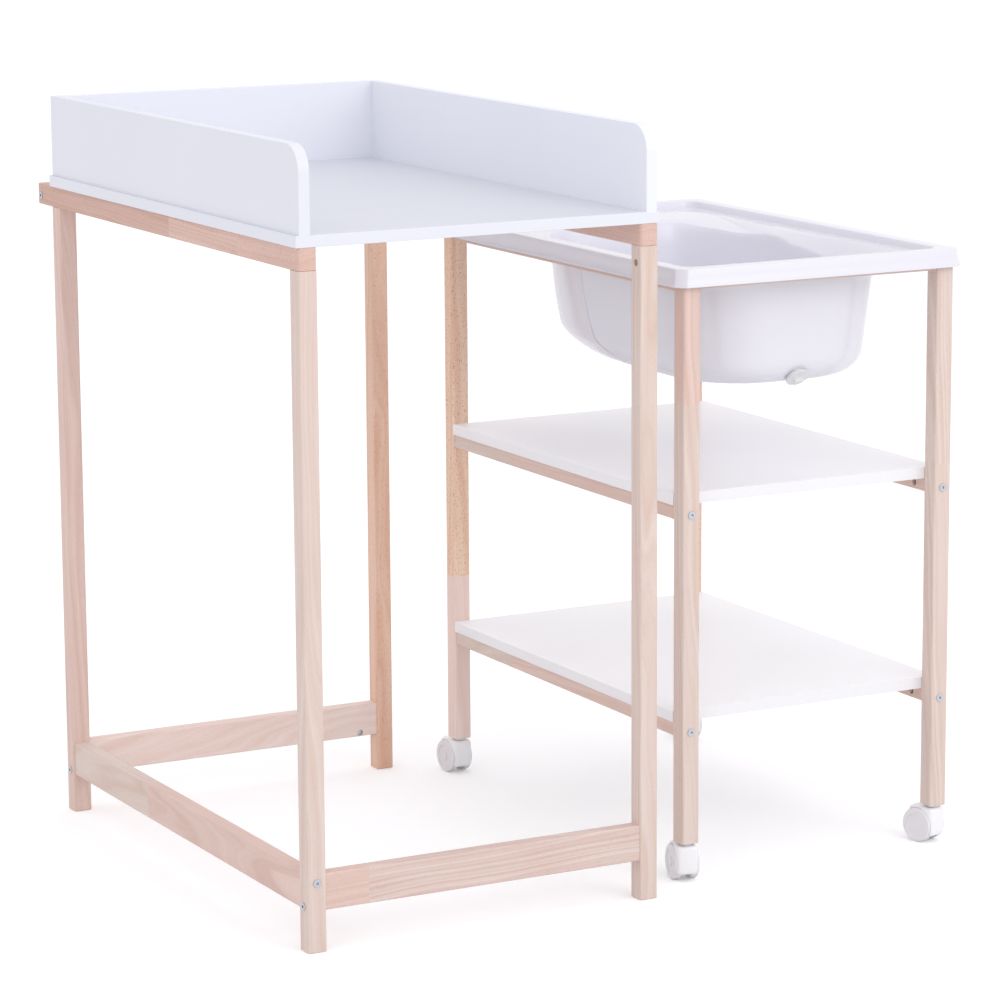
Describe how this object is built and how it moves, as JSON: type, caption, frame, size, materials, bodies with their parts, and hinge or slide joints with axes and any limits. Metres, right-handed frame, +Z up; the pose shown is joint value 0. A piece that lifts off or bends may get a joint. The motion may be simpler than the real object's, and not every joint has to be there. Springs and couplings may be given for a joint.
{
  "type": "changing table with bathtub",
  "caption": "Beech changing table with a three-sided white tray, and a castor trolley with shelves that carries a lift-out baby bathtub and parks under the table.",
  "frame": {"origin": "on the floor, under the middle of the box round the table and its trolley, which stands to the right", "axes": "+Z up, +Y from the table's open front to its back board, +X from the table to the trolley"},
  "size_m": [1.0506, 0.8934, 1.064],
  "materials": {
    "beech": "clear matt lacquer",
    "white_board": "white melamine board",
    "tub_plastic": "glossy moulded plastic",
    "white_plastic": "moulded plastic",
    "clear_plastic": "clear moulded plastic",
    "seal_rubber": "soft",
    "zinc_steel": "bright zinc"
  },
  "bodies": {
    "table": {"table_leg_front_left": "beech", "table_leg_front_right": "beech", "table_leg_back_left": "beech", "table_leg_back_right": "beech", "stretcher_left": "beech", "stretcher_front": "beech", "stretcher_back": "beech", "top_rail_left": "beech", "top_rail_right": "beech", "top_rail_rear": "beech", "tray_base": "white_board", "tray_side_left": "white_board", "tray_side_right": "white_board", "tray_back": "white_board", "table_bolts": "zinc_steel", "leg_top_bolts": "zinc_steel", "table_barrel_nuts": "zinc_steel", "tray_wall_screws": "zinc_steel", "tray_panel_screws": "zinc_steel"},
    "trolley": {"trolley_leg_front_left": "beech", "trolley_leg_front_right": "beech", "trolley_leg_back_left": "beech", "trolley_leg_back_right": "beech", "shelf_rail_upper_left": "beech", "shelf_rail_upper_right": "beech", "shelf_rail_lower_left": "beech", "shelf_rail_lower_right": "beech", "shelf_upper": "white_board", "shelf_lower": "white_board", "trolley_rail_left": "beech", "trolley_rail_right": "beech", "trolley_rail_front": "beech", "trolley_rail_back": "beech", "trolley_dowels": "beech", "trolley_bolts": "zinc_steel", "trolley_barrel_nuts": "zinc_steel", "shelf_screws": "zinc_steel", "castor_stems": "zinc_steel"},
    "castor_front_left": {"castor_hood_front_left": "white_plastic", "castor_axle_front_left": "zinc_steel"},
    "wheel_left_front_left": {"wheel_left_front_left": "white_plastic"},
    "wheel_right_front_left": {"wheel_right_front_left": "white_plastic"},
    "castor_front_right": {"castor_hood_front_right": "white_plastic", "castor_axle_front_right": "zinc_steel"},
    "wheel_left_front_right": {"wheel_left_front_right": "white_plastic"},
    "wheel_right_front_right": {"wheel_right_front_right": "white_plastic"},
    "castor_back_left": {"castor_hood_back_left": "white_plastic", "castor_axle_back_left": "zinc_steel"},
    "wheel_left_back_left": {"wheel_left_back_left": "white_plastic"},
    "wheel_right_back_left": {"wheel_right_back_left": "white_plastic"},
    "castor_back_right": {"castor_hood_back_right": "white_plastic", "castor_axle_back_right": "zinc_steel"},
    "wheel_left_back_right": {"wheel_left_back_right": "white_plastic"},
    "wheel_right_back_right": {"wheel_right_back_right": "white_plastic"},
    "tub": {"tub": "tub_plastic"},
    "drain_plug": {"drain_plug": "clear_plastic", "plug_seal": "seal_rubber"}
  },
  "joints": [
    {"name": "trolley_roll", "type": "slide", "parent": "table", "child": "trolley", "axis": [1, 0, 0], "range_m": [-0.55, 0.25]},
    {"name": "swivel_front_left", "type": "hinge", "parent": "trolley", "child": "castor_front_left", "pos_m": [0.0848, -0.39125, 0.053], "axis": [0, 0, 1], "continuous": true},
    {"name": "spin_left_front_left", "type": "hinge", "parent": "castor_front_left", "child": "wheel_left_front_left", "pos_m": [0.07598, -0.37279, 0.025], "axis": [0.9744, -0.225, 0], "continuous": true},
    {"name": "spin_right_front_left", "type": "hinge", "parent": "castor_front_left", "child": "wheel_right_front_left", "pos_m": [0.10082, -0.37853, 0.025], "axis": [0.9744, -0.225, 0], "continuous": true},
    {"name": "swivel_front_right", "type": "hinge", "parent": "trolley", "child": "castor_front_right", "pos_m": [0.4978, -0.39125, 0.053], "axis": [0, 0, 1], "continuous": true},
    {"name": "spin_left_front_right", "type": "hinge", "parent": "castor_front_right", "child": "wheel_left_front_right", "pos_m": [0.48103, -0.37953, 0.025], "axis": [0.9588, 0.284, 0], "continuous": true},
    {"name": "spin_right_front_right", "type": "hinge", "parent": "castor_front_right", "child": "wheel_right_front_right", "pos_m": [0.50548, -0.37229, 0.025], "axis": [0.9588, 0.284, 0], "continuous": true},
    {"name": "swivel_back_left", "type": "hinge", "parent": "trolley", "child": "castor_back_left", "pos_m": [0.0848, 0.29075, 0.053], "axis": [0, 0, 1], "continuous": true},
    {"name": "spin_left_back_left", "type": "hinge", "parent": "castor_back_left", "child": "wheel_left_back_left", "pos_m": [0.07102, 0.30587, 0.025], "axis": [0.9978, 0.0663, 0], "continuous": true},
    {"name": "spin_right_back_left", "type": "hinge", "parent": "castor_back_left", "child": "wheel_right_back_left", "pos_m": [0.09646, 0.30756, 0.025], "axis": [0.9978, 0.0663, 0], "continuous": true},
    {"name": "swivel_back_right", "type": "hinge", "parent": "trolley", "child": "castor_back_right", "pos_m": [0.4978, 0.29075, 0.053], "axis": [0, 0, 1], "continuous": true},
    {"name": "spin_left_back_right", "type": "hinge", "parent": "castor_back_right", "child": "wheel_left_back_right", "pos_m": [0.4874, 0.30837, 0.025], "axis": [0.9903, -0.1392, 0], "continuous": true},
    {"name": "spin_right_back_right", "type": "hinge", "parent": "castor_back_right", "child": "wheel_right_back_right", "pos_m": [0.51265, 0.30482, 0.025], "axis": [0.9903, -0.1392, 0], "continuous": true},
    {"name": "tub_lift", "type": "slide", "parent": "trolley", "child": "tub", "axis": [0, 0, 1], "range_m": [0, 0.25]},
    {"name": "plug_pull", "type": "slide", "parent": "tub", "child": "drain_plug", "axis": [0, -0.7071, -0.7071], "range_m": [0, 0.03]}
  ]
}
